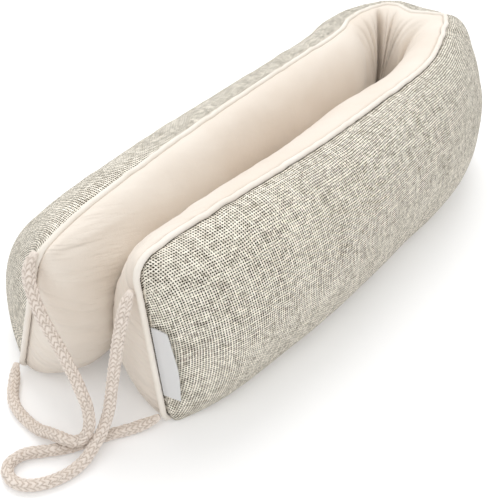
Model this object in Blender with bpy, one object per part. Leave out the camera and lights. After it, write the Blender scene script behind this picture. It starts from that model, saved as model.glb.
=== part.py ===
"""A stuffed draught excluder, folded in half, standing on its long seam. Metres, +Z up.

Two panels, linen outside and cotton inside, are sewn together round their edge with a piped seam
and filled to a long round cushion. Folded in half it is a U in plan: the near arm and the far arm
run along Y, and the fold is at the far end of Y. A braided cord loop is sewn into each end seam.
"""
import math

import bpy
import numpy as np

# The piped seam: its round cord lies on the floor below and runs along the top
PIPING_RADIUS = 0.0019
TOP_CORNER_RADIUS = 0.012
FOOT_CORNER_RADIUS = 0.008
CLOTH_GAP = 0.00035
SEAM_NOTCH = PIPING_RADIUS + 0.0007
NOTCH_SHOULDER = 0.8
PIPING_RISE = 0.3
PIPING_SIDES = 8

# The filling: each panel swells from the end seams, and sags a little onto the floor
LINEN_END = 0.034
COTTON_END = 0.034
END_THICKNESS = SEAM_NOTCH + 0.0007
SAG = 0.006
SAG_LENGTH = 0.040

# The steps along the cushion and round each panel
ARM_STEP = 0.0135
FOLD_STEP = 0.0046
ACROSS = 15

# The cushion's box centre, in the plan that SECTIONS is drawn in
PLAN_CENTRE = (-0.0665, 0.187)

# One row for each section along the folded cushion, from the near end to the far end:
# top_x, top_y    the top seam in plan
# foot_x, foot_y  the bottom seam in plan
# height          of the top seam
# side            the direction that the linen faces, in degrees from +X
# linen, cotton   how far each panel stands out from the seam
# linen_slump, cotton_slump  how much of that has sunk towards the floor
SECTIONS = [
    (-0.008, -0.007, -0.001, -0.001, 0.123, 18, 0.034, 0.048, -0.20, 0.40),
    (-0.011, 0.020, -0.005, 0.022, 0.123, 12, 0.038, 0.047, -0.15, 0.32),
    (-0.012, 0.060, -0.009, 0.060, 0.123, 4, 0.042, 0.044, -0.05, 0.15),
    (-0.013, 0.150, -0.013, 0.150, 0.123, 4, 0.044, 0.046, 0.00, 0.05),
    (-0.018, 0.220, -0.017, 0.220, 0.123, 8, 0.040, 0.049, 0.00, 0.00),
    (-0.027, 0.300, -0.024, 0.300, 0.125, 20, 0.038, 0.041, 0.05, 0.00),
    (-0.041, 0.335, -0.038, 0.340, 0.128, 44, 0.038, 0.033, 0.15, -0.25),
    (-0.057, 0.361, -0.057, 0.366, 0.129, 68, 0.039, 0.036, 0.10, -0.30),
    (-0.080, 0.354, -0.079, 0.372, 0.128, 100, 0.048, 0.032, -0.35, -0.30),
    (-0.102, 0.355, -0.104, 0.362, 0.128, 122, 0.050, 0.030, -0.10, -0.25),
    (-0.114, 0.325, -0.118, 0.330, 0.126, 160, 0.050, 0.030, 0.00, -0.10),
    (-0.106, 0.290, -0.119, 0.290, 0.124, 178, 0.050, 0.034, 0.05, 0.05),
    (-0.100, 0.230, -0.115, 0.230, 0.123, 178, 0.051, 0.036, 0.10, 0.10),
    (-0.090, 0.150, -0.110, 0.150, 0.123, 184, 0.052, 0.035, 0.10, 0.10),
    (-0.077, 0.065, -0.106, 0.065, 0.123, 184, 0.056, 0.037, 0.15, 0.20),
    (-0.062, -0.005, -0.103, 0.000, 0.123, 176, 0.060, 0.041, 0.32, 0.35),
    (-0.051, -0.036, -0.1035, -0.032, 0.123, 168, 0.061, 0.045, 0.50, 0.45),
]

# The fold, as distances along the cushion
FOLD_START = 0.300
FOLD_END = 0.520


def smooth_curve(knots, values, where):
    """Reads a smooth curve through the values at the given places, column by column."""
    knots = np.asarray(knots, float)
    values = np.asarray(values, float)
    where = np.atleast_1d(np.asarray(where, float))
    steps = np.diff(knots)
    slopes = np.diff(values, axis=0) / steps[:, None]
    before = steps[:-1, None]
    after = steps[1:, None]
    inner = (slopes[:-1] * after + slopes[1:] * before) / (before + after)
    tangents = np.vstack([slopes[:1], inner, slopes[-1:]])
    at = np.clip(np.searchsorted(knots, where) - 1, 0, len(steps) - 1)
    t = ((where - knots[at]) / steps[at])[:, None]
    width = steps[at][:, None]
    return (
        values[at] * (2 * t**3 - 3 * t**2 + 1)
        + tangents[at] * width * (t**3 - 2 * t**2 + t)
        + values[at + 1] * (3 * t**2 - 2 * t**3)
        + tangents[at + 1] * width * (t**3 - t**2)
    )


def section_places():
    """Gives each section's distance along the cushion, measured halfway up the seam."""
    rows = np.array(SECTIONS)
    middle = (rows[:, 0:2] + rows[:, 2:4]) / 2
    return np.concatenate([[0], np.cumsum(np.linalg.norm(np.diff(middle, axis=0), axis=1))])


PLACES = section_places()
LENGTH = PLACES[-1]


class Section:
    """The seam's place and the panels' bulge at one distance along the cushion."""

    def __init__(self, distance):
        row = smooth_curve(PLACES, SECTIONS, distance)[0]
        self.top = row[0:2] - PLAN_CENTRE
        self.foot = row[2:4] - PLAN_CENTRE
        self.top_z = row[4]
        self.foot_z = PIPING_RADIUS + CLOTH_GAP
        side = math.radians(row[5])
        self.outward = np.array([math.cos(side), math.sin(side), 0.0])
        self.bulge = {"linen": row[6], "cotton": row[7]}
        self.slump = {"linen": row[8], "cotton": row[9]}
        self.from_end = min(distance, LENGTH - distance)

    def seam_point(self, z):
        """Gives the point of the seam's plane at a height."""
        share = z / self.top_z
        plan = self.foot + (self.top - self.foot) * share
        return np.array([plan[0], plan[1], z])


def corner_bend(from_end, radius, inset):
    """Gives how far a rounded corner lies from the square one, and how level it runs there."""
    if from_end >= radius:
        return inset, 1.0
    reach = (radius - from_end) / (radius - inset)
    level = math.sqrt(max(0.0, 1 - reach**2))
    return radius - (radius - inset) * level, level


def swell(from_end, length):
    """Gives the share of a panel's bulge near an end seam."""
    left = 1 - min(max(from_end / length, 0.0), 1.0)
    return math.sqrt(1 - left**2)


def panel_ring(section, cloth, relief):
    """Gives one section of a panel with its filling, from the bottom seam round to the top."""
    sign, length = (1, LINEN_END) if cloth == "linen" else (-1, COTTON_END)
    foot_bend, foot_level = corner_bend(section.from_end, FOOT_CORNER_RADIUS, SEAM_NOTCH)
    top_bend, top_level = corner_bend(section.from_end, TOP_CORNER_RADIUS, SEAM_NOTCH)
    seam_low = section.foot_z + foot_bend
    seam_high = section.top_z - top_bend
    side = SEAM_NOTCH + CLOTH_GAP
    full = END_THICKNESS + (section.bulge[cloth] - END_THICKNESS) * swell(section.from_end - SEAM_NOTCH, length)
    sag = SAG * min(1.0, section.from_end / SAG_LENGTH)
    low = seam_low - (SEAM_NOTCH + PIPING_RADIUS + CLOTH_GAP) * foot_level
    high = seam_high + (SEAM_NOTCH - PIPING_RISE * PIPING_RADIUS) * top_level
    shoulder = NOTCH_SHOULDER * SEAM_NOTCH
    ring = [
        (CLOTH_GAP / 2, seam_low),
        (shoulder, seam_low - (SEAM_NOTCH - shoulder) * foot_level),
        (side, low),
    ]
    for k in range(1, ACROSS):
        turn = math.pi * k / ACROSS
        round_out = math.sin(turn) * (1 + section.slump[cloth] * math.cos(turn))
        out = side + (full - side) * round_out * (1 - relief(turn))
        z = low - sag + (high - low + sag) * (1 - math.cos(turn)) / 2
        ring.append((out, z))
    ring.append((side, high))
    ring.append((shoulder, seam_high + (SEAM_NOTCH - shoulder) * top_level))
    ring.append((CLOTH_GAP / 2, seam_high))
    ring = [section.seam_point(z) + section.outward * out * sign for out, z in ring]
    for point in ring:
        point[2] = max(point[2], 0.0)
    return ring


def stations():
    """Gives the places along the cushion where its sections are cut, closer in the fold and at the ends."""
    end = [0.0, 0.0008, 0.0018, 0.0034, 0.0056, 0.0092, 0.016, 0.025]
    first = [SEAM_NOTCH + e for e in end]
    last = [LENGTH - f for f in reversed(first)]
    places = list(first)
    for start, stop, step in (
        (first[-1], FOLD_START, ARM_STEP),
        (FOLD_START, FOLD_END, FOLD_STEP),
        (FOLD_END, last[0], ARM_STEP),
    ):
        count = round((stop - start) / step)
        places += [start + (stop - start) * k / count for k in range(1, count + 1)]
    return places + last[1:]


STATIONS = stations()


def smooth_panel(distance, turn):
    """Leaves a panel without folds."""
    return 0.0


# The cotton's gathers in the fold: each runs from the crease up to the seam.
# spread  how far from the crease it meets the seam, towards the far arm
# depth   of its furrow, as a share of the bulge
# width   of its furrow
GATHERS = [
    (-0.037, 0.20, 0.0055),
    (-0.026, 0.32, 0.0055),
    (-0.015, 0.22, 0.0050),
    (0.000, 0.72, 0.0080),
    (0.013, 0.25, 0.0050),
    (0.026, 0.25, 0.0060),
]
CREASE = PLACES[9] + 0.014
GATHER_ROOT = 0.44
GATHER_LIMIT = 0.8


def gathers(distance, turn):
    """Gives the share of the bulge that the gathers take: they fan out from the crease to the seam."""
    rise = max(0.0, (turn / math.pi - GATHER_ROOT) / (1 - GATHER_ROOT))
    taken = 0.0
    for spread, depth, width in GATHERS:
        away = (distance - CREASE - spread * rise) / width
        taken = max(taken, depth * math.exp(-away * away))
    return min(taken, GATHER_LIMIT)


def empty_file():
    """Removes what the file holds."""
    for thing in list(bpy.data.objects):
        bpy.data.objects.remove(thing)


def finish(name, colour, roughness):
    """Makes a plain cloth finish."""
    made = bpy.data.materials.new(name)
    made.use_nodes = True
    shader = made.node_tree.nodes["Principled BSDF"]
    shader.inputs["Base Color"].default_value = (*colour, 1)
    shader.inputs["Roughness"].default_value = roughness
    shader.inputs["Metallic"].default_value = 0
    return made


def add_solid(name, points, faces, cloth, sharp=50):
    """Adds one closed solid, shaded smooth except at its sharp edges."""
    mesh = bpy.data.meshes.new(name)
    mesh.from_pydata([tuple(float(c) for c in p) for p in points], [], faces)
    mesh.materials.append(cloth)
    mesh.shade_smooth()
    mesh.set_sharp_from_angle(angle=math.radians(sharp))
    solid = bpy.data.objects.new(name, mesh)
    bpy.context.collection.objects.link(solid)
    return solid


def add_panel(name, cloth, relief, colour_finish):
    """Builds one panel with its half of the filling, as rings along the cushion."""
    rings = []
    for place in STATIONS:
        section = Section(place)
        rings.append(panel_ring(section, cloth, lambda turn: relief(place, turn)))
    count = len(rings[0])
    points = [p for ring in rings for p in ring]
    faces = []
    last = count - 1
    for i in range(len(rings) - 1):
        a = i * count
        b = a + count
        for k in range(last):
            faces.append((a + k, b + k, b + k + 1, a + k + 1))
        faces.append((a + last, b + last, a))
        faces.append((b + last, b, a))
    for start, order in ((0, 1), ((len(rings) - 1) * count, -1)):
        centre = len(points)
        points.append(sum(points[start:start + count]) / count)
        for k in range(count):
            pair = (start + k, start + (k + 1) % count)
            faces.append((centre, *pair[::order]))
    if cloth == "cotton":
        faces = [face[::-1] for face in faces]
    return add_solid(name, points, faces, colour_finish)


def piping_path():
    """Gives the closed line of the piping, with the seam's outward direction at each point."""
    top = []
    foot = []
    rise = []
    corner_steps = 5
    for place in STATIONS:
        section = Section(place)
        if section.from_end > TOP_CORNER_RADIUS:
            top.append((section.seam_point(section.top_z), section.outward))
        if section.from_end > FOOT_CORNER_RADIUS:
            foot.append((section.seam_point(section.foot_z), section.outward))
    for near in (True, False):
        line = []
        for k in range(corner_steps + 1):
            angle = math.pi / 2 * k / corner_steps
            in_from_end = FOOT_CORNER_RADIUS * (1 - math.cos(math.pi / 2 - angle))
            section = Section(in_from_end if near else LENGTH - in_from_end)
            z = section.foot_z + FOOT_CORNER_RADIUS * (1 - math.sin(math.pi / 2 - angle))
            line.append((section.seam_point(z), section.outward))
        end = Section(0.0 if near else LENGTH)
        low = end.foot_z + FOOT_CORNER_RADIUS
        high = end.top_z - TOP_CORNER_RADIUS
        for k in range(1, 9):
            line.append((end.seam_point(low + (high - low) * k / 9), end.outward))
        for k in range(corner_steps + 1):
            angle = math.pi / 2 * k / corner_steps
            in_from_end = TOP_CORNER_RADIUS * (1 - math.cos(angle))
            section = Section(in_from_end if near else LENGTH - in_from_end)
            z = section.top_z - TOP_CORNER_RADIUS * (1 - math.sin(angle))
            line.append((section.seam_point(z), section.outward))
        rise.append(line)
    return rise[0] + top + rise[1][::-1] + foot[::-1]


def add_piping(colour_finish):
    """Builds the piping as a closed tube round the seam."""
    path = piping_path()
    count = len(path)
    points = []
    for i in range(count):
        here, outward = path[i]
        along = path[(i + 1) % count][0] - path[i - 1][0]
        along /= np.linalg.norm(along)
        across = np.cross(along, outward)
        across /= np.linalg.norm(across)
        level = np.cross(across, along)
        for k in range(PIPING_SIDES):
            angle = 2 * math.pi * k / PIPING_SIDES
            points.append(here + PIPING_RADIUS * (math.cos(angle) * level + math.sin(angle) * across))
    faces = []
    for i in range(count):
        a = i * PIPING_SIDES
        b = (i + 1) % count * PIPING_SIDES
        for k in range(PIPING_SIDES):
            m = (k + 1) % PIPING_SIDES
            faces.append((a + k, a + m, b + m, b + k))
    return add_solid("piping", points, faces, colour_finish, 80)


# The braided cord of the two loops. Each route runs from the end seam's top to its foot, and
# its points are x, y in the sections' plan and z.
CORD_RADIUS = 0.0036
CORD_SIDES = 8
PLAIT_STEP = 0.0017
PLAIT_DEPTH = 0.0003
PINCH = 0.5
PINCH_LENGTH = 0.012
NEAR_LOOP = [
    (-0.0089, -0.0097, 0.1065),
    (-0.0098, -0.0114, 0.1020),
    (-0.0107, -0.0135, 0.0960),
    (-0.0116, -0.0158, 0.0880),
    (-0.0130, -0.0195, 0.0720),
    (-0.0143, -0.0230, 0.0550),
    (-0.0152, -0.0265, 0.0380),
    (-0.0155, -0.0305, 0.0235),
    (-0.0146, -0.0365, 0.0150),
    (-0.0130, -0.0440, 0.0100),
    (-0.0118, -0.0530, 0.0060),
    (-0.0122, -0.0630, 0.0042),
    (-0.0150, -0.0735, 0.0040),
    (-0.0205, -0.0825, 0.0040),
    (-0.0285, -0.0880, 0.0040),
    (-0.0365, -0.0880, 0.0040),
    (-0.0420, -0.0840, 0.0040),
    (-0.0430, -0.0770, 0.0040),
    (-0.0395, -0.0695, 0.0040),
    (-0.0338, -0.0625, 0.0040),
    (-0.0277, -0.0540, 0.0040),
    (-0.0228, -0.0445, 0.0040),
    (-0.0190, -0.0350, 0.0040),
    (-0.0140, -0.0255, 0.0040),
    (-0.0092, -0.0165, 0.0044),
    (-0.0055, -0.0095, 0.0058),
    (-0.0024, -0.0037, 0.0082),
]
FAR_LOOP = [
    (-0.0530, -0.0349, 0.1236),
    (-0.0534, -0.0390, 0.1185),
    (-0.0524, -0.0418, 0.1118),
    (-0.0493, -0.0432, 0.1020),
    (-0.0433, -0.0435, 0.0875),
    (-0.0368, -0.0420, 0.0730),
    (-0.0308, -0.0405, 0.0580),
    (-0.0253, -0.0395, 0.0420),
    (-0.0215, -0.0395, 0.0270),
    (-0.0196, -0.0425, 0.0166),
    (-0.0203, -0.0480, 0.0116),
    (-0.0250, -0.0528, 0.0115),
    (-0.0320, -0.0550, 0.0113),
    (-0.0405, -0.0560, 0.0087),
    (-0.0490, -0.0568, 0.0049),
    (-0.0580, -0.0572, 0.0040),
    (-0.0680, -0.0568, 0.0040),
    (-0.0780, -0.0545, 0.0040),
    (-0.0860, -0.0500, 0.0040),
    (-0.0930, -0.0440, 0.0046),
    (-0.0983, -0.0390, 0.0066),
    (-0.1011, -0.0356, 0.0091),
]


def cord_line(route):
    """Gives the rings' centres along a smooth curve through a cord's points."""
    points = np.array(route) - (*PLAN_CENTRE, 0.0)
    knots = np.concatenate([[0], np.cumsum(np.linalg.norm(np.diff(points, axis=0), axis=1))])
    fine = smooth_curve(knots, points, np.linspace(0, knots[-1], 1500))
    run = np.concatenate([[0], np.cumsum(np.linalg.norm(np.diff(fine, axis=0), axis=1))])
    count = round(run[-1] / PLAIT_STEP)
    return np.column_stack([np.interp(np.linspace(0, run[-1], count + 1), run, fine[:, k]) for k in range(3)])


def add_cord(name, route, colour_finish):
    """Builds a cord with the bumps of its plait, as rings that step half a side round each time.

    Its ends are pinched where they are sewn into the seam.
    """
    centres = cord_line(route)
    along = np.gradient(centres, axis=0)
    along /= np.linalg.norm(along, axis=1)[:, None]
    side = np.cross(along[0], (0.0, 0.0, 1.0))
    points = []
    faces = []
    for i, centre in enumerate(centres):
        side = side - along[i] * (side @ along[i])
        side /= np.linalg.norm(side)
        other = np.cross(along[i], side)
        from_end = PLAIT_STEP * min(i, len(centres) - 1 - i)
        pinch = PINCH + (1 - PINCH) * math.sin(math.pi / 2 * min(1.0, from_end / PINCH_LENGTH))
        radius = (CORD_RADIUS - PLAIT_DEPTH * (i % 2)) * pinch
        for k in range(CORD_SIDES):
            angle = 2 * math.pi * (k + 0.5 * (i % 2)) / CORD_SIDES
            points.append(centre + radius * (math.cos(angle) * side + math.sin(angle) * other))
    for i in range(len(centres) - 1):
        a = i * CORD_SIDES
        b = a + CORD_SIDES
        for k in range(CORD_SIDES):
            m = (k + 1) % CORD_SIDES
            if i % 2 == 0:
                faces += [(a + k, a + m, b + k), (a + m, b + m, b + k)]
            else:
                faces += [(a + k, a + m, b + m), (a + k, b + m, b + k)]
    last = (len(centres) - 1) * CORD_SIDES
    faces.append(tuple(range(CORD_SIDES))[::-1])
    faces.append(tuple(last + k for k in range(CORD_SIDES)))
    return add_solid(name, points, faces, colour_finish, 80)


# The label: a folded satin tab, sewn in beside the piping of the near end seam
LABEL_LOW = 0.026
LABEL_HIGH = 0.079
LABEL_REACH = 0.0095
LABEL_BOW = 0.0020
LABEL_THICKNESS = 0.0010
LABEL_CLEAR = 0.0006
LABEL_LIFT = 0.0022
LABEL_STEPS = 6
LABEL_SEARCH = 0.024


def linen_at(out, z):
    """Gives the near end's linen surface where it stands a given way out from the seam, at a height."""
    places = SEAM_NOTCH + LABEL_SEARCH * np.linspace(0, 1, 40)
    outs = []
    for place in places:
        section = Section(place)
        ring = panel_ring(section, "linen", lambda turn: 0.0)[3:-3]
        heights = [point[2] for point in ring]
        reaches = [(point - section.seam_point(point[2])) @ section.outward for point in ring]
        outs.append(np.interp(z, heights, reaches))
    section = Section(float(np.interp(out, outs, places)))
    return section.seam_point(z) + section.outward * out


def add_label(colour_finish):
    """Builds the label as a bent sheet that follows the linen and lifts a little at its free edge."""
    shares = [k / LABEL_STEPS for k in range(LABEL_STEPS + 1)]
    count = len(shares)
    sheets = []
    for layer in (0, 1):
        for up in shares:
            z = LABEL_LOW + (LABEL_HIGH - LABEL_LOW) * up
            reach = LABEL_REACH + LABEL_BOW * math.sin(math.pi * up)
            line = np.array([linen_at(SEAM_NOTCH + reach * share, z) for share in shares])
            along = np.gradient(line, axis=0)
            front = np.cross(along, (0.0, 0.0, 1.0))
            front /= np.linalg.norm(front, axis=1)[:, None]
            for k in range(count):
                lift = LABEL_CLEAR + LABEL_LIFT * (k / LABEL_STEPS) ** 2 + LABEL_THICKNESS * layer
                sheets.append(line[k] + front[k] * lift)
    half = count * count
    faces = []
    for i in range(count - 1):
        for k in range(count - 1):
            a = i * count + k
            faces.append((a, a + count, a + 1 + count, a + 1))
            faces.append((a + half, a + half + 1, a + half + count + 1, a + half + count))
    rim = [k for k in range(count)]
    rim += [i * count + count - 1 for i in range(1, count)]
    rim += [(count - 1) * count + k for k in range(count - 2, -1, -1)]
    rim += [i * count for i in range(count - 2, 0, -1)]
    for i, a in enumerate(rim):
        b = rim[(i + 1) % len(rim)]
        faces.append((a, b, b + half, a + half))
    return add_solid("label_tab", sheets, faces, colour_finish)


empty_file()
linen = finish("linen_cloth", (0.55, 0.52, 0.42), 0.9)
cotton = finish("cotton_cloth", (0.82, 0.74, 0.63), 0.9)
add_panel("linen_panel", "linen", smooth_panel, linen)
add_panel("cotton_panel", "cotton", gathers, cotton)
add_piping(cotton)
add_cord("cord_loop_near", NEAR_LOOP, cotton)
add_cord("cord_loop_far", FAR_LOOP, cotton)
add_label(finish("label_satin", (0.86, 0.87, 0.90), 0.45))
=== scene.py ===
"""A stuffed draught excluder, folded in half and stood on its seam, as it is photographed for sale."""
import math

import bpy
import numpy as np
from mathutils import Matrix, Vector, noise


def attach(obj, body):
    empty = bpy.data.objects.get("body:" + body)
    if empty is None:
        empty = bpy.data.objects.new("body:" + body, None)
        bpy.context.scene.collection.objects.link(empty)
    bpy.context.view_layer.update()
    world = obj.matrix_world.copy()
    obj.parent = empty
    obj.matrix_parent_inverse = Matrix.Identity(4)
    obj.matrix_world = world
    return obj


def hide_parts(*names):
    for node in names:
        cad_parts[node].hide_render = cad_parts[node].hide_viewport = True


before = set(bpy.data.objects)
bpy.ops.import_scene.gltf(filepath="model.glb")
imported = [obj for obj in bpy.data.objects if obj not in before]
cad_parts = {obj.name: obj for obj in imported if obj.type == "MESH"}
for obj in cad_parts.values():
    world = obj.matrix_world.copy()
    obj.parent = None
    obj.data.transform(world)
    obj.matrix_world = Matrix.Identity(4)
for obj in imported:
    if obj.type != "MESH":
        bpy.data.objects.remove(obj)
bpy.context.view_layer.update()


# The camera looks down on the open end from the right, with the fold at the back.
CAMERA_PLACE = (0.3311, -0.4028, 0.3975)
CAMERA_AZIMUTH = 42.5
CAMERA_ELEVATION = 38
CAMERA_LENS = 61.2
CAMERA_SENSOR = 36
CAMERA_CLIP = 0.01

camera = bpy.data.objects.new("camera", bpy.data.cameras.new("camera"))
camera.location = CAMERA_PLACE
camera.rotation_euler = (math.radians(90 - CAMERA_ELEVATION), 0, math.radians(CAMERA_AZIMUTH))
camera.data.lens = CAMERA_LENS
camera.data.sensor_width = CAMERA_SENSOR
camera.data.clip_start = CAMERA_CLIP
bpy.context.collection.objects.link(camera)
bpy.context.scene.camera = camera


# Each end has a loop of soft braided cotton cord, sewn into the end seam near its top and at its
# foot, so that the excluder can be hung up or carried. The braid's strands lie in columns of Vs.
PLAN_CENTRE = (-0.0665, 0.187)
CORD_RADIUS = 0.0036
CORD_STEP = 0.00040
CORD_CURVE_STEPS = 3000
CORD_SIDES = 48
BRAID_COLUMNS = 6
BRAID_PITCH = 0.0034
BRAID_SLOPE = 0.70
BRAID_DEPTH = 0.00085
BRAID_RISE = 0.0001
BRAID_UNEVEN = 0.00030
UNEVEN_SCALE = 320
STRAND_DRIFT = 0.0014
STRAND_SWAY = 0.25
VALLEY_DEPTH = 0.5
PINCH = 0.5
PINCH_LENGTH = 0.012

# x, y in the cushion's plan and z, from the seam's top to its foot
NEAR_LOOP = [
    (-0.0089, -0.0097, 0.1065),
    (-0.0098, -0.0114, 0.1020),
    (-0.0107, -0.0135, 0.0960),
    (-0.0116, -0.0158, 0.0880),
    (-0.0130, -0.0195, 0.0720),
    (-0.0143, -0.0230, 0.0550),
    (-0.0152, -0.0265, 0.0380),
    (-0.0155, -0.0305, 0.0235),
    (-0.0146, -0.0365, 0.0150),
    (-0.0130, -0.0440, 0.0100),
    (-0.0118, -0.0530, 0.0060),
    (-0.0122, -0.0630, 0.0042),
    (-0.0150, -0.0735, 0.0040),
    (-0.0205, -0.0825, 0.0040),
    (-0.0285, -0.0880, 0.0040),
    (-0.0365, -0.0880, 0.0040),
    (-0.0420, -0.0840, 0.0040),
    (-0.0430, -0.0770, 0.0040),
    (-0.0395, -0.0695, 0.0040),
    (-0.0338, -0.0625, 0.0040),
    (-0.0277, -0.0540, 0.0040),
    (-0.0228, -0.0445, 0.0040),
    (-0.0190, -0.0350, 0.0040),
    (-0.0140, -0.0255, 0.0040),
    (-0.0092, -0.0165, 0.0044),
    (-0.0055, -0.0095, 0.0058),
    (-0.0024, -0.0037, 0.0082),
]
FAR_LOOP = [
    (-0.0530, -0.0349, 0.1236),
    (-0.0534, -0.0390, 0.1185),
    (-0.0524, -0.0418, 0.1118),
    (-0.0493, -0.0432, 0.1020),
    (-0.0433, -0.0435, 0.0875),
    (-0.0368, -0.0420, 0.0730),
    (-0.0308, -0.0405, 0.0580),
    (-0.0253, -0.0395, 0.0420),
    (-0.0215, -0.0395, 0.0270),
    (-0.0196, -0.0425, 0.0166),
    (-0.0203, -0.0480, 0.0116),
    (-0.0250, -0.0528, 0.0115),
    (-0.0320, -0.0550, 0.0113),
    (-0.0405, -0.0560, 0.0087),
    (-0.0490, -0.0568, 0.0049),
    (-0.0580, -0.0572, 0.0040),
    (-0.0680, -0.0568, 0.0040),
    (-0.0780, -0.0545, 0.0040),
    (-0.0860, -0.0500, 0.0040),
    (-0.0930, -0.0440, 0.0046),
    (-0.0983, -0.0390, 0.0066),
    (-0.1011, -0.0356, 0.0091),
]


def smooth_curve(knots, values, where):
    """Reads a smooth curve through the values at the given places, column by column."""
    knots = np.asarray(knots, float)
    values = np.asarray(values, float)
    where = np.atleast_1d(np.asarray(where, float))
    steps = np.diff(knots)
    slopes = np.diff(values, axis=0) / steps[:, None]
    before = steps[:-1, None]
    after = steps[1:, None]
    inner = (slopes[:-1] * after + slopes[1:] * before) / (before + after)
    tangents = np.vstack([slopes[:1], inner, slopes[-1:]])
    at = np.clip(np.searchsorted(knots, where) - 1, 0, len(steps) - 1)
    t = ((where - knots[at]) / steps[at])[:, None]
    width = steps[at][:, None]
    return (
        values[at] * (2 * t**3 - 3 * t**2 + 1)
        + tangents[at] * width * (t**3 - 2 * t**2 + t)
        + values[at + 1] * (3 * t**2 - 2 * t**3)
        + tangents[at + 1] * width * (t**3 - t**2)
    )


def run_lengths(points):
    """Gives the distance along a line of points at each of them."""
    return np.concatenate([[0], np.cumsum(np.linalg.norm(np.diff(points, axis=0), axis=1))])


def cord_line(route):
    """Gives evenly spaced places along the smooth curve through a loop's points."""
    points = np.array(route) - (*PLAN_CENTRE, 0.0)
    knots = run_lengths(points)
    fine = smooth_curve(knots, points, np.linspace(0, knots[-1], CORD_CURVE_STEPS))
    run = run_lengths(fine)
    places = np.linspace(0, run[-1], round(run[-1] / CORD_STEP) + 1)
    return np.column_stack([np.interp(places, run, fine[:, k]) for k in range(3)])


def add_piece(name, points, faces, finish, **numbers):
    """Adds one piece as a smooth mesh, with a number or a vector at each point for its finish."""
    mesh = bpy.data.meshes.new(name)
    mesh.from_pydata([tuple(map(float, p)) for p in points], [], faces)
    mesh.shade_smooth()
    for title, values in numbers.items():
        values = np.asarray(values, float)
        kind, field = ("FLOAT", "value") if values.ndim == 1 else ("FLOAT_VECTOR", "vector")
        mesh.attributes.new(title, kind, "POINT").data.foreach_set(field, values.ravel())
    mesh.materials.append(finish.material)
    piece = bpy.data.objects.new(name, mesh)
    bpy.context.collection.objects.link(piece)
    return piece


def braid(along, turn):
    """Gives the height of the braid's surface, from 0 in a groove to 1 on a strand."""
    column = turn / (2 * math.pi) * BRAID_COLUMNS
    lean = abs(column % 1 - 0.5) * 2
    phase = along / BRAID_PITCH + 0.5 * (math.floor(column) % 2) - BRAID_SLOPE * lean
    strand = abs(math.sin(math.pi * phase))
    valley = 1 - VALLEY_DEPTH * lean**4
    return strand * valley


class Socket:
    """One value in a finish, so that its sums can be written as plain sums."""

    def __init__(self, finish, end):
        self.finish = finish
        self.end = end

    def maths(self, operation, *values):
        return self.finish.node("ShaderNodeMath", {"operation": operation}, dict(enumerate(values)))

    def __add__(self, other):
        return self.maths("ADD", self, other)

    def __sub__(self, other):
        return self.maths("SUBTRACT", self, other)

    def __rsub__(self, other):
        return self.maths("SUBTRACT", other, self)

    def __mul__(self, other):
        return self.maths("MULTIPLY", self, other)

    def __truediv__(self, other):
        return self.maths("DIVIDE", self, other)

    def __mod__(self, other):
        return self.maths("FLOORED_MODULO", self, other)

    def __abs__(self):
        return self.maths("ABSOLUTE", self)

    __radd__ = __add__
    __rmul__ = __mul__


class Finish:
    """A cloth's material, built node by node round one Principled shader."""

    def __init__(self, name, **fixed):
        self.material = bpy.data.materials.new(name)
        self.material.use_nodes = True
        self.nodes = self.material.node_tree.nodes
        self.links = self.material.node_tree.links
        self.shader = self.nodes["Principled BSDF"]
        for socket, value in fixed.items():
            self.shader.inputs[socket.replace("_", " ")].default_value = value

    def node(self, kind, settings, sockets, out=0):
        """Adds a node with its settings, then the values or links of its sockets."""
        made = self.nodes.new(kind)
        for name, value in settings.items():
            setattr(made, name, value)
        for name, value in sockets.items():
            if isinstance(value, Socket):
                self.links.new(value.end, made.inputs[name])
            else:
                made.inputs[name].default_value = value
        return Socket(self, made.outputs[out])

    def read(self, title, out):
        """Reads the number or vector that a piece keeps at each of its points."""
        return self.node("ShaderNodeAttribute", {"attribute_name": title}, {}, out)

    def place(self):
        """Gives the place on the piece, in metres."""
        return self.node("ShaderNodeTexCoord", {}, {}, "Object")

    def patches(self, where, scale, detail=2.0, rough=0.5):
        """Gives soft random patches from 0 to 1, with so many to a metre."""
        sockets = {"Vector": where, "Scale": scale, "Detail": detail, "Roughness": rough}
        return self.node("ShaderNodeTexNoise", {"noise_dimensions": "3D"}, sockets)

    def join(self, *values):
        """Joins up to three numbers into a vector."""
        return self.node("ShaderNodeCombineXYZ", {}, dict(enumerate(values)))

    def pick(self, vector, which):
        """Gives one of a vector's three numbers."""
        return self.node("ShaderNodeSeparateXYZ", {}, {0: vector}, which)

    def ramp(self, value, low, high):
        """Turns a value's stretch from low to high into a smooth one from 0 to 1."""
        sockets = {"Value": value, "From Min": low, "From Max": high}
        return self.node("ShaderNodeMapRange", {"interpolation_type": "SMOOTHSTEP"}, sockets)

    def mix(self, share, first, second):
        """Mixes two colours."""
        sockets = {0: share}
        for place, colour in ((6, first), (7, second)):
            sockets[place] = colour if isinstance(colour, Socket) else (*colour, 1)
        return self.node("ShaderNodeMix", {"data_type": "RGBA"}, sockets, 2)

    def paint(self, colour, height=None, depth=0.0):
        """Joins the colour and the raised surface to the shader."""
        self.links.new(colour.end, self.shader.inputs["Base Color"])
        if height is not None:
            bump = self.node("ShaderNodeBump", {}, {"Height": height, "Distance": depth})
            self.links.new(bump.end, self.shader.inputs["Normal"])


CORD_CREAM = (0.76, 0.665, 0.585)
# The next colour is painted shade, laid in the braid's grooves between the strands.
CORD_GROOVE_SHADE = (0.53, 0.44, 0.365)
CORD_PALE = (0.87, 0.79, 0.72)
FIBRE_SCALE = 1400.0
STRAND_SCALE = 240.0
FIBRE_DEPTH = 0.0003

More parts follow.
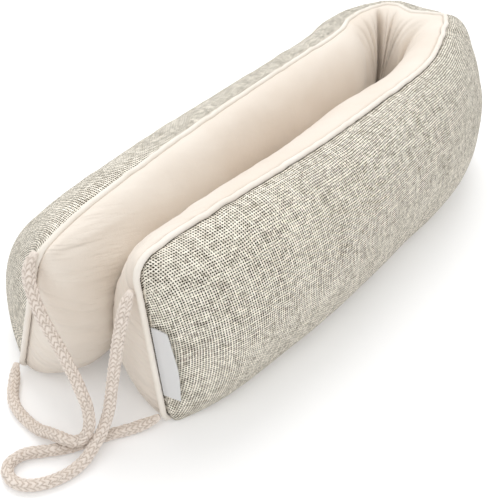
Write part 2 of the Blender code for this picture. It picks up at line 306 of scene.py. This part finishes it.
cord_finish = Finish("braided_cotton", Roughness=0.85, Sheen_Weight=0.25, Sheen_Roughness=0.5)
height = cord_finish.read("braid", "Fac")
fibre = cord_finish.patches(cord_finish.place(), FIBRE_SCALE)
worn = cord_finish.patches(cord_finish.place(), STRAND_SCALE)
strand_colour = cord_finish.mix(worn, CORD_CREAM, CORD_PALE)
# Painted shade: the braid's grooves are painted the darker groove brown, as shade lies in them, while
# the strand tops keep the strand colour.
unshaded_tops = cord_finish.ramp(height + (fibre - 0.5) * 1.1, -0.15, 0.95)
colour = cord_finish.mix(unshaded_tops, CORD_GROOVE_SHADE, strand_colour)
cord_finish.paint(colour=colour, height=fibre, depth=FIBRE_DEPTH)


def add_cord(name, route):
    """Builds one braided loop as a tube with raised strands, and its pinched ends."""
    centres = cord_line(route)
    along = np.gradient(centres, axis=0)
    along /= np.linalg.norm(along, axis=1)[:, None]
    side = np.cross(along[0], (0.0, 0.0, 1.0))
    points = []
    heights = []
    for i, centre in enumerate(centres):
        side = side - along[i] * (side @ along[i])
        side /= np.linalg.norm(side)
        other = np.cross(along[i], side)
        from_end = CORD_STEP * min(i, len(centres) - 1 - i)
        pinch = PINCH + (1 - PINCH) * math.sin(math.pi / 2 * min(1.0, from_end / PINCH_LENGTH))
        for k in range(CORD_SIDES):
            turn = 2 * math.pi * k / CORD_SIDES
            out = math.cos(turn) * side + math.sin(turn) * other
            loose = noise.noise(Vector(centre + out * CORD_RADIUS) * UNEVEN_SCALE)
            height = braid(i * CORD_STEP + loose * STRAND_DRIFT, turn + loose * STRAND_SWAY)
            radius = CORD_RADIUS + BRAID_RISE - BRAID_DEPTH * (1 - height) + BRAID_UNEVEN * loose
            points.append(centre + radius * pinch * out)
            heights.append(1 - (1 - height) * min(1.0, from_end / CORD_RADIUS))
    faces = []
    for i in range(len(centres) - 1):
        a = i * CORD_SIDES
        b = a + CORD_SIDES
        for k in range(CORD_SIDES):
            m = (k + 1) % CORD_SIDES
            faces.append((a + k, a + m, b + m, b + k))
    last = (len(centres) - 1) * CORD_SIDES
    faces.append(tuple(range(CORD_SIDES))[::-1])
    faces.append(tuple(last + k for k in range(CORD_SIDES)))
    loop = add_piece("braided_" + name, points, faces, cord_finish, braid=heights)
    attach(loop, "root")
    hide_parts(name)


add_cord("cord_loop_near", NEAR_LOOP)
add_cord("cord_loop_far", FAR_LOOP)


# The cushion is two long panels, sewn together all round with piping in the seam and filled with
# fibre. The outer one is coarse natural linen in an open plain weave, drawn in along the seam.
PIPING_RADIUS = 0.0019
TOP_CORNER_RADIUS = 0.012
FOOT_CORNER_RADIUS = 0.008
CLOTH_GAP = 0.00035
SEAM_NOTCH = PIPING_RADIUS + 0.0003
NOTCH_SHOULDER = 0.8
PIPING_RISE = {"linen": 0.3, "cotton": -0.2}
PANEL_END = 0.034
END_THICKNESS = SEAM_NOTCH + 0.0011
SAG = 0.006
SAG_LENGTH = 0.040
ARM_STEP = 0.0030
FOLD_STEP = 0.0010
ACROSS = 64
SEAM_WANDER = 0.0008
FOLD_WANDER = 0.0024
SEAM_WAVE = 0.012
EVEN_END = 0.014
FOLD_START = 0.300
FOLD_END = 0.520
FOLD_SPREAD = 0.075

# One row for each section along the folded cushion, from the near end to the far end:
# top_x, top_y    the top seam in plan
# foot_x, foot_y  the bottom seam in plan
# height          of the top seam
# side            the direction that the linen faces, in degrees from +X
# linen, cotton   how far each panel stands out from the seam
# linen_slump, cotton_slump  how much of that has sunk towards the floor
SECTIONS = [
    (-0.008, -0.007, -0.001, -0.001, 0.123, 18, 0.034, 0.048, -0.20, 0.40),
    (-0.011, 0.020, -0.005, 0.022, 0.123, 12, 0.038, 0.047, -0.15, 0.32),
    (-0.012, 0.060, -0.009, 0.060, 0.123, 4, 0.042, 0.044, -0.05, 0.15),
    (-0.013, 0.150, -0.013, 0.150, 0.123, 4, 0.044, 0.046, 0.00, 0.05),
    (-0.018, 0.220, -0.017, 0.220, 0.123, 8, 0.040, 0.049, 0.00, 0.00),
    (-0.027, 0.300, -0.024, 0.300, 0.125, 20, 0.038, 0.041, 0.05, 0.00),
    (-0.041, 0.335, -0.038, 0.340, 0.128, 44, 0.038, 0.033, 0.15, -0.25),
    (-0.057, 0.361, -0.057, 0.366, 0.129, 68, 0.039, 0.036, 0.10, -0.30),
    (-0.080, 0.354, -0.079, 0.372, 0.128, 100, 0.048, 0.032, -0.35, -0.30),
    (-0.102, 0.355, -0.104, 0.362, 0.128, 122, 0.050, 0.030, -0.10, -0.25),
    (-0.114, 0.325, -0.118, 0.330, 0.126, 160, 0.050, 0.030, 0.00, -0.10),
    (-0.106, 0.290, -0.119, 0.290, 0.124, 178, 0.050, 0.034, 0.05, 0.05),
    (-0.100, 0.230, -0.115, 0.230, 0.123, 178, 0.051, 0.036, 0.10, 0.10),
    (-0.090, 0.150, -0.110, 0.150, 0.123, 184, 0.052, 0.035, 0.10, 0.10),
    (-0.077, 0.065, -0.106, 0.065, 0.123, 184, 0.056, 0.037, 0.15, 0.20),
    (-0.062, -0.005, -0.103, 0.000, 0.123, 176, 0.060, 0.041, 0.32, 0.35),
    (-0.051, -0.036, -0.1035, -0.032, 0.123, 168, 0.061, 0.045, 0.50, 0.45),
]


def section_places():
    """Gives each section's distance along the cushion, measured halfway up the seam."""
    rows = np.array(SECTIONS)
    return run_lengths((rows[:, 0:2] + rows[:, 2:4]) / 2)


PLACES = section_places()
LENGTH = PLACES[-1]


class Section:
    """The seam's place and the panels' bulge at one distance along the cushion."""

    def __init__(self, distance):
        row = smooth_curve(PLACES, SECTIONS, distance)[0]
        self.top = row[0:2] - PLAN_CENTRE
        self.foot = row[2:4] - PLAN_CENTRE
        self.top_z = row[4]
        self.foot_z = PIPING_RADIUS + CLOTH_GAP
        side = math.radians(row[5])
        self.outward = np.array([math.cos(side), math.sin(side), 0.0])
        self.bulge = {"linen": row[6], "cotton": row[7]}
        self.slump = {"linen": row[8], "cotton": row[9]}
        self.from_end = min(distance, LENGTH - distance)
        in_fold = math.exp(-(((distance - (FOLD_START + FOLD_END) / 2) / FOLD_SPREAD) ** 4))
        wander = SEAM_WANDER + (FOLD_WANDER - SEAM_WANDER) * in_fold
        wander *= min(1.0, self.from_end / SAG_LENGTH)
        self.top += self.outward[:2] * wander * noise.noise(Vector((distance / SEAM_WAVE, 0.0, 5.0)))
        self.top_z += wander * noise.noise(Vector((distance / SEAM_WAVE, 3.0, 5.0))) / 2

    def seam_point(self, z):
        """Gives the point of the seam's plane at a height."""
        plan = self.foot + (self.top - self.foot) * z / self.top_z
        return np.array([plan[0], plan[1], z])


def corner_bend(from_end, radius, inset):
    """Gives how far a rounded corner lies from the square one, and how level it runs there."""
    if from_end >= radius:
        return inset, 1.0
    reach = (radius - from_end) / (radius - inset)
    level = math.sqrt(max(0.0, 1 - reach**2))
    return radius - (radius - inset) * level, level


def swell(from_end, length):
    """Gives the share of a panel's bulge near an end seam."""
    left = 1 - min(max(from_end / length, 0.0), 1.0)
    return math.sqrt(1 - left**2)


def panel_ring(section, cloth, relief):
    """Gives one section of a panel with its filling, from the bottom seam round to the top."""
    sign = 1 if cloth == "linen" else -1
    foot_bend, foot_level = corner_bend(section.from_end, FOOT_CORNER_RADIUS, SEAM_NOTCH)
    top_bend, top_level = corner_bend(section.from_end, TOP_CORNER_RADIUS, SEAM_NOTCH)
    seam_low = section.foot_z + foot_bend
    seam_high = section.top_z - top_bend
    side = SEAM_NOTCH + CLOTH_GAP
    swollen = swell(section.from_end - SEAM_NOTCH, PANEL_END)
    full = END_THICKNESS + (section.bulge[cloth] - END_THICKNESS) * swollen
    sag = SAG * min(1.0, section.from_end / SAG_LENGTH)
    low = seam_low - (SEAM_NOTCH + PIPING_RADIUS + CLOTH_GAP) * foot_level
    high = seam_high + (SEAM_NOTCH - PIPING_RISE[cloth] * PIPING_RADIUS) * top_level
    shoulder = NOTCH_SHOULDER * SEAM_NOTCH
    ring = [
        (CLOTH_GAP / 2, seam_low),
        (shoulder, seam_low - (SEAM_NOTCH - shoulder) * foot_level),
        (side, low),
    ]
    for k in range(1, ACROSS):
        turn = math.pi * k / ACROSS
        round_out = math.sin(turn) * (1 + section.slump[cloth] * math.cos(turn))
        taken, raised = relief(turn)
        raised *= min(1.0, (section.from_end - SEAM_NOTCH) / EVEN_END) * math.sin(turn) ** 0.5
        out = side + (full - side) * round_out * (1 - taken) + raised
        z = low - sag + (high - low + sag) * (1 - math.cos(turn)) / 2
        ring.append((max(out, side), z))
    ring.append((side, high))
    ring.append((shoulder, seam_high + (SEAM_NOTCH - shoulder) * top_level))
    ring.append((CLOTH_GAP / 2, seam_high))
    ring = [section.seam_point(z) + section.outward * out * sign for out, z in ring]
    for point in ring:
        point[2] = max(point[2], 0.0)
    return ring


def stations():
    """Gives the places along the cushion where it is cut into sections, closer in the fold and ends."""
    end = [0.0, 0.0004, 0.0008, 0.0013, 0.0018, 0.0026, 0.0034, 0.0045, 0.0056, 0.0074, 0.0092]
    end += [0.0115, 0.0138, 0.016, 0.019, 0.022, 0.025]
    first = [SEAM_NOTCH + e for e in end]
    last = [LENGTH - f for f in reversed(first)]
    places = list(first)
    for start, stop, step in (
        (first[-1], FOLD_START, ARM_STEP),
        (FOLD_START, FOLD_END, FOLD_STEP),
        (FOLD_END, last[0], ARM_STEP),
    ):
        count = round((stop - start) / step)
        places += [start + (stop - start) * k / count for k in range(1, count + 1)]
    return places + last[1:]


STATIONS = stations()
THREAD_ZONE = 0.036
THREAD_START = 0.75
WRINKLE_REACH = 0.060


def cloth_places(rings):
    """Gives each point's place on its flat cloth: its way along it and its way round it."""
    rings = np.array(rings)
    steps = np.linalg.norm(np.diff(rings, axis=0), axis=2)
    middle = rings.shape[1] // 2
    run = np.concatenate([[0], np.cumsum(steps[:, middle])])
    along = np.repeat(run[:, None], rings.shape[1], axis=1)
    inner = [i for i, place in enumerate(STATIONS) if THREAD_ZONE < place < LENGTH - THREAD_ZONE]
    for i in range(inner[0] - 1, -1, -1):
        along[i] = along[i + 1] - steps[i]
    for i in range(inner[-1] + 1, len(rings)):
        along[i] = along[i - 1] + steps[i - 1]
    around = np.zeros(rings.shape[:2])
    around[:, 1:] = np.cumsum(np.linalg.norm(np.diff(rings, axis=1), axis=2), axis=1)
    around = around[:, -1:] * THREAD_START - around
    return np.stack([along, around, np.zeros_like(along)], axis=2).reshape(-1, 3)


def add_panel(name, cloth, relief, finish):
    """Builds one panel with its half of the filling, as rings along the cushion."""
    rings = []
    for place in STATIONS:
        rings.append(panel_ring(Section(place), cloth, lambda turn: relief(place, turn)))
    count = len(rings[0])
    points = [p for ring in rings for p in ring]
    on_cloth = list(cloth_places(rings))
    faces = []
    last = count - 1
    for i in range(len(rings) - 1):
        a = i * count
        b = a + count
        for k in range(last):
            faces.append((a + k, b + k, b + k + 1, a + k + 1))
        faces.append((a + last, b + last, b, a))
    for start, order in ((0, 1), ((len(rings) - 1) * count, -1)):
        centre = len(points)
        points.append(sum(points[start:start + count]) / count)
        on_cloth.append(sum(on_cloth[start:start + count]) / count)
        for k in range(count):
            pair = (start + k, start + (k + 1) % count)
            faces.append((centre, *pair[::order]))
    if cloth == "cotton":
        faces = [face[::-1] for face in faces]
    ends = [math.exp(-((min(place, LENGTH - place) / WRINKLE_REACH) ** 2)) for place in STATIONS]
    near_end = np.append(np.repeat(ends, count), (1.0, 1.0))
    panel = add_piece("filled_" + name, points, faces, finish, cloth=on_cloth, near_end=near_end)
    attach(panel, "root")
    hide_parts(name)


LINEN_UNEVEN = 0.0011
LINEN_LUMPS_ALONG = 22
LINEN_LUMPS_ROUND = 1.6
LINEN_PUCKER = 0.0009
PUCKER_PITCH = 0.016
PUCKER_REACH = 0.42


def linen_relief(distance, turn):
    """Gives the linen's unevenness over the filling, and its puckers beside the seams."""
    lump_place = Vector((distance * LINEN_LUMPS_ALONG, turn * LINEN_LUMPS_ROUND, 3.0))
    lumps = noise.noise(lump_place) * LINEN_UNEVEN
    beside_seam = math.exp(-((math.sin(turn) / PUCKER_REACH) ** 2))
    ripple = noise.noise(Vector((distance / PUCKER_PITCH, turn * 0.5, 9.0)))
    return 0.0, lumps + ripple * LINEN_PUCKER * beside_seam


WARP_PITCH = 0.00160
WEFT_PITCH = 0.00164
LINEN_PALE = (1.0, 0.945, 0.835)
LINEN_DULL = (0.52, 0.47, 0.375)
# The next colour is painted shade: the gaps between the threads are near black, for the shade inside
# them.
LINEN_HOLE_SHADE = (0.034, 0.024, 0.010)
THREAD_WANDER = 0.9
WANDER_SCALE = 40
THREAD_WIDTH = 0.465
WIDTH_OF_THREAD = 0.14
WIDTH_OF_SLUB = 0.60
WIDTH_OF_PATCH = 0.35
EDGE_OUT = 0.04
EDGE_IN = 0.05
SHADE = 0.72
SHADE_OF_THREAD = 0.20
SHADE_OF_BAND = 0.30
SHADE_OF_WEAR = 0.4
SHADE_OF_CROSSING = 0.6
SLUB_SCALE = 210
BAND_SCALE = 14
LOOSE_SCALE = 220.0
WORN_SCALE = 55.0
DIP = 0.45
WEAVE_DEPTH = 0.0010


def thread(finish, across, along, pitch, loose, seed):
    """Gives how well one set of threads covers the cloth, its shade, and its thread's number."""
    wander = finish.join(across * WANDER_SCALE, along * WANDER_SCALE, seed)
    shift = (finish.patches(wander, 1.0) - 0.5) * THREAD_WANDER
    place = across / pitch + shift
    number = place.maths("FLOOR", place)
    off_centre = abs(place - number - 0.5) * 2
    dice = finish.node("ShaderNodeTexWhiteNoise", {"noise_dimensions": "1D"}, {"W": number + seed})
    slub = finish.patches(finish.join(number * 3.7, along * SLUB_SCALE, seed), 1.0)
    width = THREAD_WIDTH + (dice - 0.5) * WIDTH_OF_THREAD
    width = width + (slub - 0.5) * WIDTH_OF_SLUB + (loose - 0.5) * WIDTH_OF_PATCH
    cover = finish.ramp(off_centre, width + EDGE_OUT, width - EDGE_IN)
    band = finish.patches(finish.join(number * 0.21, along * BAND_SCALE, seed + 5.0), 1.0, 3.0, 0.65)
    shade = (dice - 0.5) * SHADE_OF_THREAD + (band - 0.5) * SHADE_OF_BAND + (slub - 0.5)
    return cover, shade, number


linen_finish = Finish("coarse_linen", Roughness=0.92, Specular_IOR_Level=0.1)
split = linen_finish.read("cloth", "Vector")
way_along = linen_finish.pick(split, 0)
way_round = linen_finish.pick(split, 1)
loose = linen_finish.patches(split, LOOSE_SCALE, 3.0)
warp, warp_shade, warp_number = thread(linen_finish, way_along, way_round, WARP_PITCH, loose, 11.0)
weft, weft_shade, weft_number = thread(linen_finish, way_round, way_along, WEFT_PITCH, loose, 47.0)
over = (warp_number + weft_number) % 2
warp_height = warp * (1.0 - DIP + over * DIP)
weft_height = weft * (1.0 - over * DIP)
surface = warp_height.maths("MAXIMUM", warp_height, weft_height)
cover = warp.maths("MAXIMUM", warp, weft)
on_top = warp_height.maths("GREATER_THAN", warp_height, weft_height)
worn = linen_finish.patches(split, WORN_SCALE, 3.0) - 0.5
crossing = {"Vector": linen_finish.join(warp_number, weft_number)}
uneven = linen_finish.node("ShaderNodeTexWhiteNoise", {"noise_dimensions": "3D"}, crossing) - 0.5
shade = SHADE + worn * SHADE_OF_WEAR + uneven * SHADE_OF_CROSSING
shade = shade + weft_shade + (warp_shade - weft_shade) * on_top
thread_colour = linen_finish.mix(linen_finish.ramp(shade, -0.1, 1.1), LINEN_DULL, LINEN_PALE)
# Painted shade: where neither set of threads covers the cloth, the gap is painted the near-black hole
# colour.
colour = linen_finish.mix(cover, LINEN_HOLE_SHADE, thread_colour)
linen_finish.paint(colour=colour, height=surface, depth=WEAVE_DEPTH)

add_panel("linen_panel", "linen", linen_relief, linen_finish)


# The inner panel is smooth cream cotton. The fold gathers it into one deep crease, with lesser
# gathers that fan out from it to the seam, and it wrinkles softly beside the end seams.
# spread  how far from the crease a gather meets the seam, towards the far arm
# depth   of its furrow, as a share of the bulge
# width   of its furrow
GATHERS = [
    (-0.064, 0.04, 0.0022),
    (-0.050, 0.13, 0.0022),
    (-0.041, 0.09, 0.0016),
    (-0.026, 0.21, 0.0020),
    (-0.013, 0.15, 0.0015),
    (0.000, 0.72, 0.0036),
    (0.012, 0.20, 0.0016),
    (0.024, 0.19, 0.0019),
    (0.040, 0.12, 0.0018),
    (0.056, 0.05, 0.0024),
]
CREASE_SHIFT = 0.014
CREASE = PLACES[9] + CREASE_SHIFT
GATHER_ROOT = 0.44
GATHER_LIMIT = 0.8
GATHER_EDGE = 1.3
WRINKLE_DEPTH = 0.0018
COTTON_UNEVEN = 0.0013
COTTON_LUMPS_ALONG = 30
COTTON_LUMPS_ROUND = 1.8
FAN_ROUND = 8
FAN_LEAN = 45
FAN_ALONG = 9
FINE_FAN = 2.1
FINE_FAN_ALONG = 14


def cotton_relief(distance, turn):
    """Gives the share of the bulge that the gathers take, and the wrinkles near the ends."""
    rise = max(0.0, (turn / math.pi - GATHER_ROOT) / (1 - GATHER_ROOT))
    taken = 0.0
    for spread, depth, width in GATHERS:
        away = (distance - CREASE - spread * rise) / width
        taken = max(taken, depth * math.exp(-(abs(away) ** GATHER_EDGE)))
    from_end = min(distance, LENGTH - distance)
    near_end = math.exp(-((from_end / WRINKLE_REACH) ** 2))
    seed = 2.0 if distance < LENGTH / 2 else 8.0
    slant = turn * FAN_ROUND + from_end * FAN_LEAN
    fan = noise.noise(Vector((slant, from_end * FAN_ALONG, seed)))
    fan += noise.noise(Vector((slant * FINE_FAN, from_end * FINE_FAN_ALONG, seed))) / 2
    lump_place = Vector((distance * COTTON_LUMPS_ALONG, turn * COTTON_LUMPS_ROUND, 6.0))
    lumps = noise.noise(lump_place) * COTTON_UNEVEN
    return min(taken, GATHER_LIMIT), lumps + fan * WRINKLE_DEPTH * near_end


COTTON_CREAM = (0.74, 0.655, 0.565)
COTTON_PALE = (0.79, 0.72, 0.64)
COTTON_GRAIN = 0.00012
PULL_ROUND = 95
PULL_LEAN = 40
PULL_ALONG = 16
CREASE_HEIGHT = 6
WRINKLE_HEIGHT = 8

cotton_finish = Finish("cream_cotton", Roughness=0.88, Sheen_Weight=0.2, Sheen_Roughness=0.5)
spot = cotton_finish.place()
tone = cotton_finish.patches(spot, 14.0, 3.0)
fine_weave = cotton_finish.patches(spot, 1800.0, 1.0)
creases = cotton_finish.patches(spot, 60.0, 3.0)
split = cotton_finish.read("cloth", "Vector")
way_along = cotton_finish.pick(split, 0)
way_round = cotton_finish.pick(split, 1)
pulled = cotton_finish.join(way_round * PULL_ROUND + way_along * PULL_LEAN, way_along * PULL_ALONG)
wrinkles = cotton_finish.ramp(cotton_finish.patches(pulled, 1.0, 3.0), 0.38, 0.62)
wrinkles = wrinkles * cotton_finish.read("near_end", "Fac")
colour = cotton_finish.mix(cotton_finish.ramp(tone, 0.3, 0.7), COTTON_CREAM, COTTON_PALE)
height = creases * CREASE_HEIGHT + wrinkles * WRINKLE_HEIGHT + fine_weave
cotton_finish.paint(colour=colour, height=height, depth=COTTON_GRAIN)

add_panel("cotton_panel", "cotton", cotton_relief, cotton_finish)


# The piping is a cord wrapped in a bias strip of the same cotton, and is sewn into the seam all
# the way round. The strip pulls into small slanting wrinkles.
PIPING_SIDES = 14
PIPING_CORNER_STEPS = 8
PIPING_END_STEPS = 40
STRIP_PITCH = 0.0042
STRIP_RIPPLE = 0.00012
PIPING_CREAM = (0.79, 0.73, 0.65)
PIPING_PALE = (0.84, 0.79, 0.72)


def piping_path():
    """Gives the closed line of the piping, with the seam's outward direction at each point."""
    top = []
    foot = []
    rise = []
    for place in STATIONS:
        section = Section(place)
        if section.from_end > TOP_CORNER_RADIUS:
            top.append((section.seam_point(section.top_z), section.outward))
        if section.from_end > FOOT_CORNER_RADIUS:
            foot.append((section.seam_point(section.foot_z), section.outward))
    for near in (True, False):
        line = []
        for k in range(PIPING_CORNER_STEPS + 1):
            angle = math.pi / 2 * k / PIPING_CORNER_STEPS
            in_from_end = FOOT_CORNER_RADIUS * (1 - math.sin(angle))
            section = Section(in_from_end if near else LENGTH - in_from_end)
            z = section.foot_z + FOOT_CORNER_RADIUS * (1 - math.cos(angle))
            line.append((section.seam_point(z), section.outward))
        end = Section(0.0 if near else LENGTH)
        low = end.foot_z + FOOT_CORNER_RADIUS
        high = end.top_z - TOP_CORNER_RADIUS
        for k in range(1, PIPING_END_STEPS):
            z = low + (high - low) * k / PIPING_END_STEPS
            line.append((end.seam_point(z), end.outward))
        for k in range(PIPING_CORNER_STEPS + 1):
            angle = math.pi / 2 * k / PIPING_CORNER_STEPS
            in_from_end = TOP_CORNER_RADIUS * (1 - math.cos(angle))
            section = Section(in_from_end if near else LENGTH - in_from_end)
            z = section.top_z - TOP_CORNER_RADIUS * (1 - math.sin(angle))
            line.append((section.seam_point(z), section.outward))
        rise.append(line)
    return rise[0] + top + rise[1][::-1] + foot[::-1]


piping_finish = Finish("piping_cotton", Roughness=0.85, Sheen_Weight=0.2, Sheen_Roughness=0.5)
spot = piping_finish.place()
tone = piping_finish.patches(spot, 40.0, 3.0)
fine_weave = piping_finish.patches(spot, 1500.0, 1.0)
colour = piping_finish.mix(piping_finish.ramp(tone, 0.3, 0.7), PIPING_CREAM, PIPING_PALE)
piping_finish.paint(colour=colour, height=fine_weave, depth=COTTON_GRAIN)


def add_piping():
    """Builds the piping as a closed tube round the seam."""
    path = piping_path()
    run = 0.0
    points = []
    for i in range(len(path)):
        here, outward = path[i]
        along = path[(i + 1) % len(path)][0] - path[i - 1][0]
        along /= np.linalg.norm(along)
        across = np.cross(along, outward)
        across /= np.linalg.norm(across)
        level = np.cross(across, along)
        run += np.linalg.norm(here - path[i - 1][0]) if i else 0.0
        for k in range(PIPING_SIDES):
            angle = 2 * math.pi * k / PIPING_SIDES
            ripple = STRIP_RIPPLE * math.sin(2 * math.pi * run / STRIP_PITCH + angle)
            radius = PIPING_RADIUS + ripple
            points.append(here + radius * (math.cos(angle) * level + math.sin(angle) * across))
    faces = []
    for i in range(len(path)):
        a = i * PIPING_SIDES
        b = (i + 1) % len(path) * PIPING_SIDES
        for k in range(PIPING_SIDES):
            m = (k + 1) % PIPING_SIDES
            faces.append((a + k, a + m, b + m, b + k))
    piping = add_piece("seam_piping", points, faces, piping_finish)
    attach(piping, "root")
    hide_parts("piping")


add_piping()


# The label is a short folded tab of white satin ribbon, sewn in beside the piping of the near end.
# It lies on the linen, lifts a little at its free edge, and is blank.
LABEL_LOW = 0.026
LABEL_HIGH = 0.079
LABEL_REACH = 0.0095
LABEL_BOW = 0.0020
LABEL_THICKNESS = 0.0008
LABEL_CLEAR = 0.0007
LABEL_LIFT = 0.0024
LABEL_WAVE = 0.0003
LABEL_SEARCH = 0.024
LABEL_STEPS = 20
LABEL_ROOT = PIPING_RADIUS + 0.0003
LABEL_SHADE = 0.004
LABEL_GRAIN = 0.00004
LABEL_WHITE = (0.66, 0.66, 0.66)
LABEL_SEAM_SHADE_GREY = (0.55, 0.548, 0.545)

label_finish = Finish("white_satin", Roughness=0.42, Sheen_Weight=0.3, Anisotropic=0.5)
split = label_finish.read("cloth", "Vector")
fine_weave = label_finish.patches(split, 2500.0, 1.0)
# Painted shade: the label is painted greyer within LABEL_SHADE of its sewn edge beside the piping,
# where shade falls on it.
from_seam = label_finish.ramp(label_finish.pick(split, 0), 0.0, LABEL_SHADE)
colour = label_finish.mix(from_seam, LABEL_SEAM_SHADE_GREY, LABEL_WHITE)
label_finish.paint(colour=colour, height=fine_weave, depth=LABEL_GRAIN)


def near_linen():
    """Gives the linen's heights and reaches from the seam, section by section from the near end."""
    found = []
    for place in SEAM_NOTCH + LABEL_SEARCH * np.linspace(0, 1, 40):
        section = Section(place)
        ring = panel_ring(section, "linen", lambda turn: linen_relief(place, turn))[3:-3]
        heights = [point[2] for point in ring]
        reaches = [(point - section.seam_point(point[2])) @ section.outward for point in ring]
        found.append((place, heights, reaches))
    return found


NEAR_LINEN = near_linen()


def linen_at(out, z):
    """Gives the near end's linen surface where it stands a given way out from the seam, at a height."""
    outs = [np.interp(z, heights, reaches) for place, heights, reaches in NEAR_LINEN]
    places = [place for place, heights, reaches in NEAR_LINEN]
    section = Section(float(np.interp(out, outs, places)))
    return section.seam_point(z) + section.outward * out


def add_label():
    """Builds the label as a bent sheet that follows the linen."""
    shares = [k / LABEL_STEPS for k in range(LABEL_STEPS + 1)]
    count = len(shares)
    points = []
    on_cloth = []
    for layer in (0, 1):
        for up in shares:
            z = LABEL_LOW + (LABEL_HIGH - LABEL_LOW) * up
            reach = LABEL_REACH + LABEL_BOW * math.sin(math.pi * up)
            line = np.array([linen_at(LABEL_ROOT + reach * share, z) for share in shares])
            along = np.gradient(line, axis=0)
            front = np.cross(along, (0.0, 0.0, 1.0))
            front /= np.linalg.norm(front, axis=1)[:, None]
            for k, share in enumerate(shares):
                wave = LABEL_WAVE * math.sin(9 * up + 1.0) * share
                lift = LABEL_CLEAR + LABEL_LIFT * share**2 + wave + LABEL_THICKNESS * layer
                points.append(line[k] + front[k] * lift)
                on_cloth.append((reach * share, z, 0.0))
    half = count * count
    faces = []
    for i in range(count - 1):
        for k in range(count - 1):
            a = i * count + k
            faces.append((a, a + count, a + 1 + count, a + 1))
            faces.append((a + half, a + half + 1, a + half + count + 1, a + half + count))
    rim = list(range(count))
    rim += [i * count + count - 1 for i in range(1, count)]
    rim += [(count - 1) * count + k for k in range(count - 2, -1, -1)]
    rim += [i * count for i in range(count - 2, 0, -1)]
    for i, a in enumerate(rim):
        b = rim[(i + 1) % len(rim)]
        faces.append((a, b, b + half, a + half))
    label = add_piece("satin_label", points, faces, label_finish, cloth=on_cloth)
    label.data.set_sharp_from_angle(angle=math.radians(50))
    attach(label, "root")
    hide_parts("label_tab")


add_label()


# The floor is plain white under an even white sky. A large soft light hangs high behind the cushion
# and a weaker one high in front of it.
FLOOR_SIZE = 8.0
FLOOR_WHITE = (0.87, 0.87, 0.87)
FLOOR_PALE = (0.88, 0.88, 0.88)
FLOOR_GLOW = 0.14
SKY_STRENGTH = 0.80
WHITE = (1, 1, 1, 1)

floor_finish = Finish("studio_white", Roughness=0.9, Emission_Color=WHITE, Emission_Strength=FLOOR_GLOW)
tone = floor_finish.patches(floor_finish.place(), 2.0)
floor_finish.paint(colour=floor_finish.mix(tone, FLOOR_WHITE, FLOOR_PALE))
half = FLOOR_SIZE / 2
floor = add_piece(
    "floor",
    [(-half, -half, 0), (half, -half, 0), (half, half, 0), (-half, half, 0)],
    [(0, 1, 2, 3)],
    floor_finish,
)


def add_light(name, place, size, power):
    """Adds a large soft light that faces the cushion."""
    lamp = bpy.data.lights.new(name, "AREA")
    lamp.shape = "DISK"
    lamp.size = size
    lamp.energy = power
    light = bpy.data.objects.new(name, lamp)
    light.location = place
    light.rotation_euler = (-Vector(place)).to_track_quat("-Z", "Y").to_euler()
    bpy.context.collection.objects.link(light)


add_light("key", place=(-0.8, 0.6, 1.9), size=1.8, power=23)
add_light("fill", place=(0.8, -0.8, 1.9), size=1.4, power=8)

world = bpy.data.worlds.new("studio")
world.use_nodes = True
background = world.node_tree.nodes["Background"]
background.inputs["Color"].default_value = WHITE
background.inputs["Strength"].default_value = SKY_STRENGTH
bpy.context.scene.world = world
bpy.context.scene.view_settings.view_transform = "Standard"
